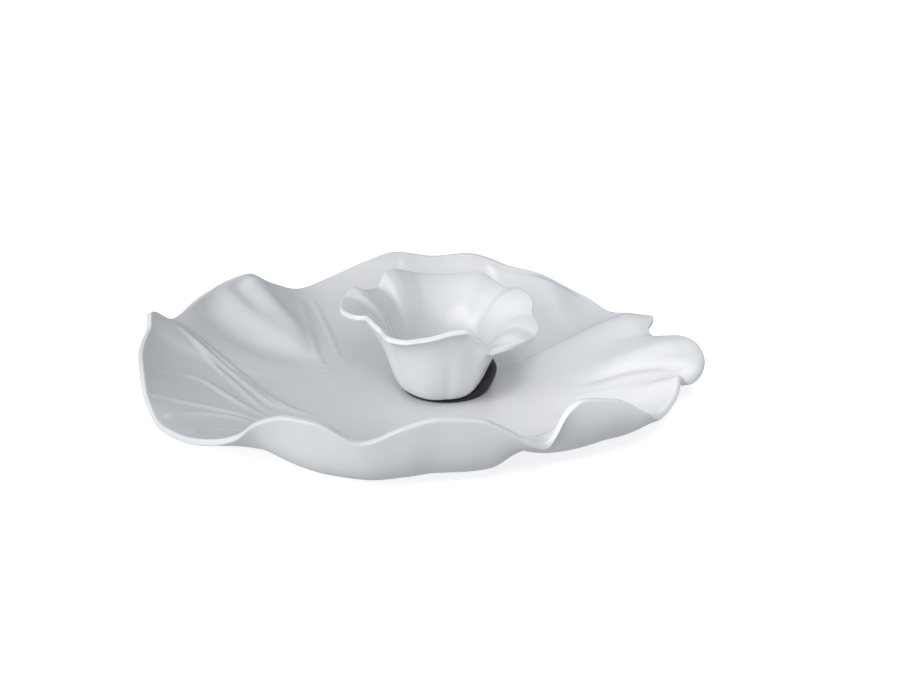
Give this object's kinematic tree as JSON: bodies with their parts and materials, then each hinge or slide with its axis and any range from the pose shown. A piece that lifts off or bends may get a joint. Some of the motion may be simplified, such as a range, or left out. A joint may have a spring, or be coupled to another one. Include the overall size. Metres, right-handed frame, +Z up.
{
  "type": "chip and dip server",
  "caption": "Ruffled petal-edged serving platter in gloss white with a matching flared dip bowl that lifts out of a low soft seat near its middle.",
  "frame": {"origin": "middle of the platter, on the surface that its foot ring stands on", "axes": "+Z up; +X along the platter's longest width, towards the side the bowl stands nearer; -Y is the side with the two high front petals"},
  "size_m": [0.3905, 0.3516, 0.0768],
  "materials": {
    "glossy_white": "gloss",
    "soft_seat": "matte"
  },
  "bodies": {
    "platter": {"platter": "glossy_white"},
    "seat": {"bowl_seat": "soft_seat"},
    "bowl": {"dip_bowl": "glossy_white"}
  },
  "joints": [
    {"name": "bowl_turn", "type": "hinge", "parent": "platter", "child": "seat", "pos_m": [0.014, -0.005, 0.0078], "axis": [0, 0, 1], "continuous": true},
    {"name": "bowl_lift", "type": "slide", "parent": "seat", "child": "bowl", "axis": [0, 0, 1], "range_m": [0, 0.12]}
  ]
}
